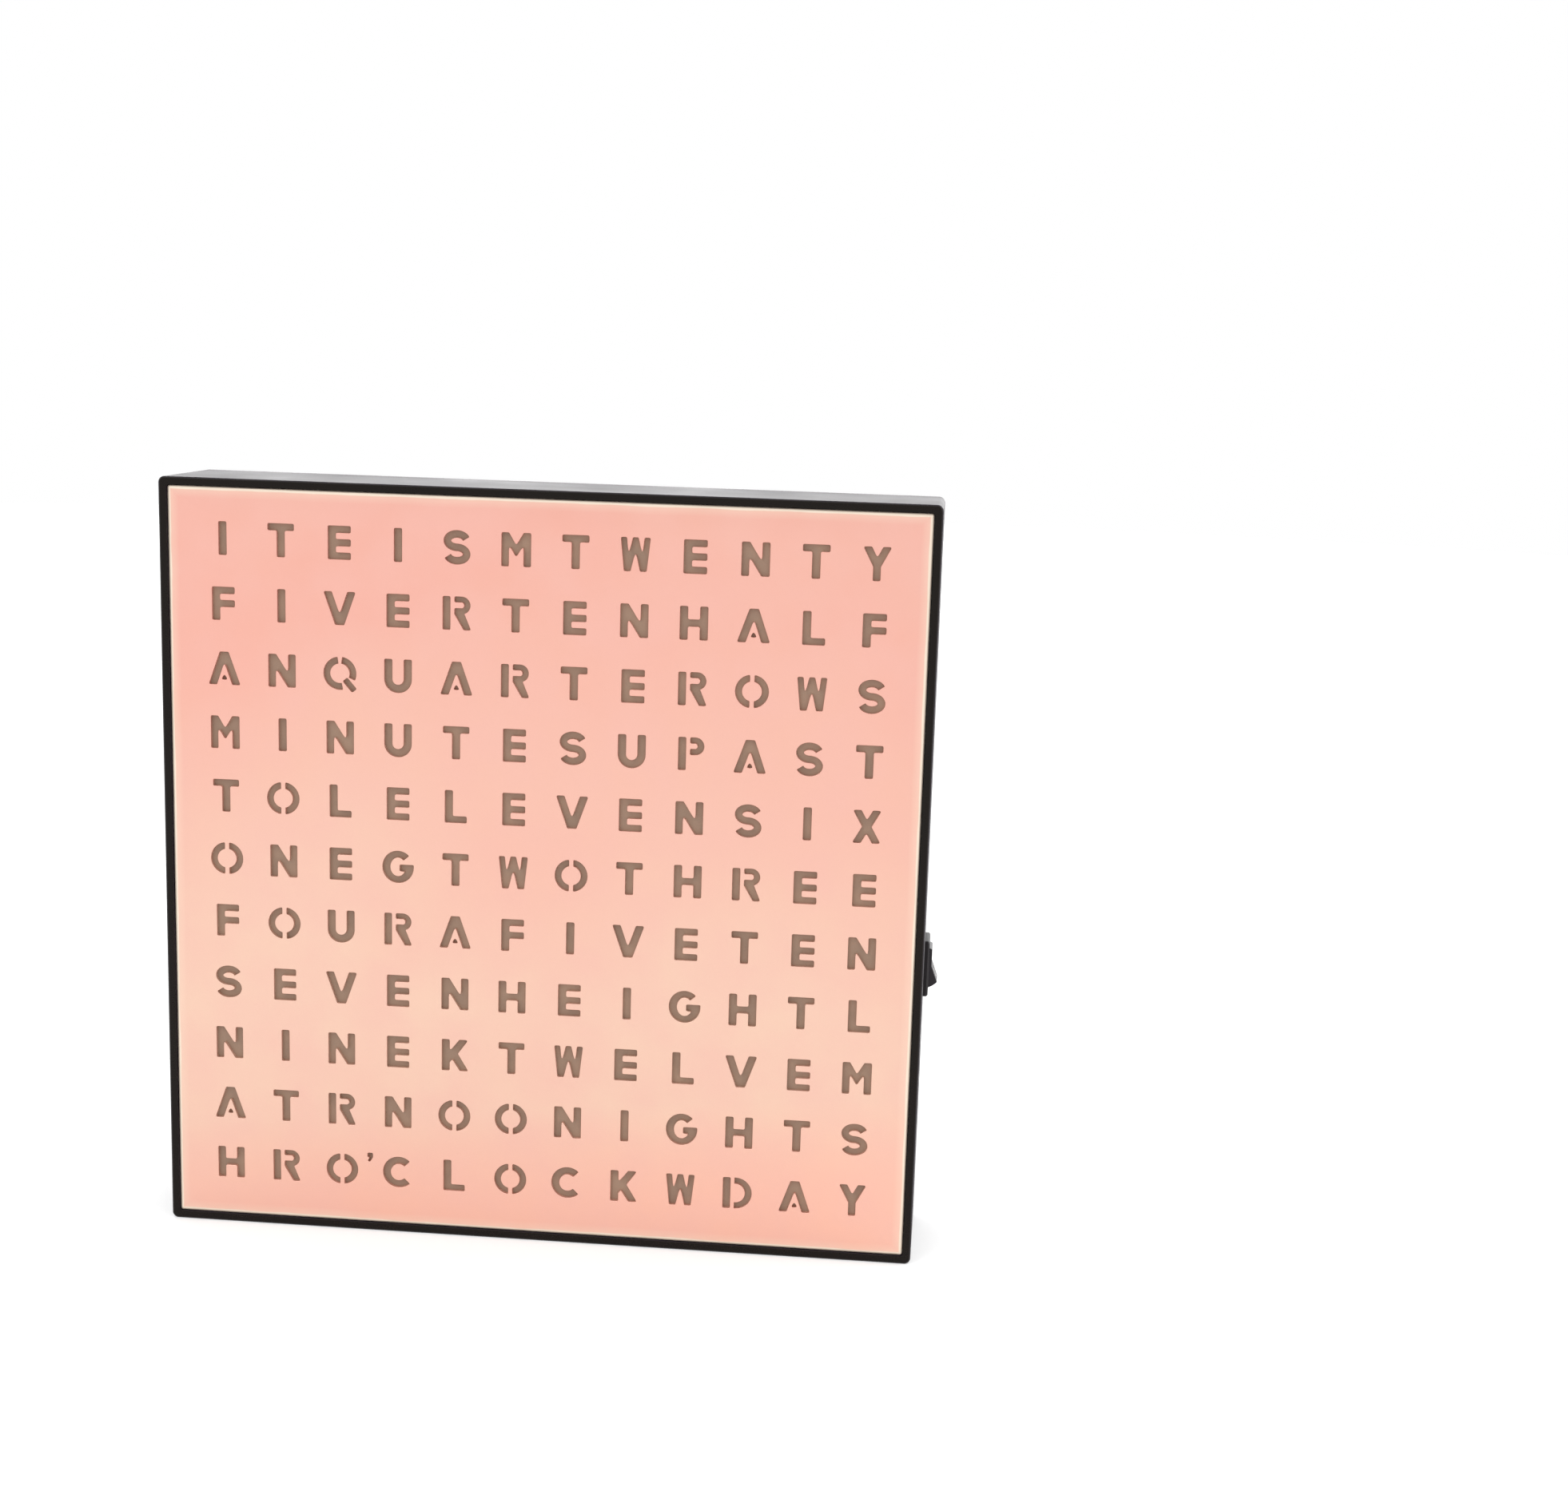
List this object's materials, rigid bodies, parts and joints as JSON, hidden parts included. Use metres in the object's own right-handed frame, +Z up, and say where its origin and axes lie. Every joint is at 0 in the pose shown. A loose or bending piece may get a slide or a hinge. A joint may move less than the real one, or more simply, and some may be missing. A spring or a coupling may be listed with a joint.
{
  "type": "word clock",
  "caption": "Square word clock that stands on a desk or hangs on a wall, with a lit stencil letter face and its switch, buttons and power socket on the right side.",
  "frame": {"origin": "centre of the case's base, on the surface it stands on", "axes": "+X to the right as seen from the front, +Y from the face to the back, +Z up"},
  "size_m": [0.2006, 0.035, 0.197],
  "materials": {
    "case_plastic": "fine texture, near-black",
    "cover_plastic": "fine texture, near-black",
    "face_metal": "satin, copper pink",
    "diffuser_sheet": "translucent",
    "adhesive_tape": "foam tape",
    "baffle_plastic": "white",
    "board_laminate": "solder mask",
    "led_package": "clear resin in a white cup",
    "chip_epoxy": "moulded",
    "can_metal": "drawn can",
    "capacitor_resin": "moulded",
    "switch_plastic": "moulded",
    "plunger_plastic": "moulded",
    "rocker_body_plastic": "satin black",
    "rocker_paddle_plastic": "satin black",
    "contact_metal": "tinned",
    "socket_plastic": "black",
    "pin_metal": "nickel",
    "red_insulation": "soft PVC",
    "black_insulation": "soft PVC",
    "connector_plastic": "off-white",
    "screw_steel": "blackened steel"
  },
  "bodies": {
    "clock": {"housing": "case_plastic", "rear_cover": "cover_plastic", "faceplate": "face_metal", "diffuser": "diffuser_sheet", "adhesive_frame": "adhesive_tape", "light_baffle": "baffle_plastic", "led_board": "board_laminate", "leds": "led_package", "controller_chip": "chip_epoxy", "led_driver_chips": "chip_epoxy", "clock_crystal": "can_metal", "smoothing_capacitors": "capacitor_resin", "plus_switch_body": "switch_plastic", "minus_switch_body": "switch_plastic", "rocker_housing": "rocker_body_plastic", "rocker_terminals": "contact_metal", "dc_jack_body": "socket_plastic", "dc_jack_pin": "pin_metal", "dc_jack_terminals": "contact_metal", "switch_lead_live": "red_insulation", "switch_lead_return": "black_insulation", "lead_plug": "connector_plastic", "lead_header": "connector_plastic", "cover_screws": "screw_steel"},
    "rocker": {"rocker_paddle": "rocker_paddle_plastic"},
    "plus_button": {"plus_button": "case_plastic"},
    "minus_button": {"minus_button": "case_plastic"},
    "plus_plunger": {"plus_switch_plunger": "plunger_plastic"},
    "minus_plunger": {"minus_switch_plunger": "plunger_plastic"}
  },
  "joints": [
    {"name": "rocker_tip", "type": "hinge", "parent": "clock", "child": "rocker", "pos_m": [0.0978, 0.005, 0.0747], "axis": [0, 1, 0], "range_deg": [0, 20]},
    {"name": "plus_button_bend", "type": "hinge", "parent": "clock", "child": "plus_button", "pos_m": [0.0975, 0.0035, 0.0549], "axis": [0, -1, 0], "range_deg": [0, 3.8], "stiffness_Nm_per_rad": 0.06},
    {"name": "minus_button_bend", "type": "hinge", "parent": "clock", "child": "minus_button", "pos_m": [0.0975, 0.0035, 0.0518], "axis": [0, 1, 0], "range_deg": [0, 3.8], "stiffness_Nm_per_rad": 0.06},
    {"name": "plus_plunger_slide", "type": "slide", "parent": "clock", "child": "plus_plunger", "axis": [-1, 0, 0], "range_m": [0, 0.00025]},
    {"name": "minus_plunger_slide", "type": "slide", "parent": "clock", "child": "minus_plunger", "axis": [-1, 0, 0], "range_m": [0, 0.00025]}
  ],
  "couplings": [
    {"joint": "plus_button_bend", "follows": "plus_plunger_slide", "rad_per_m": 260},
    {"joint": "minus_button_bend", "follows": "minus_plunger_slide", "rad_per_m": 260}
  ]
}
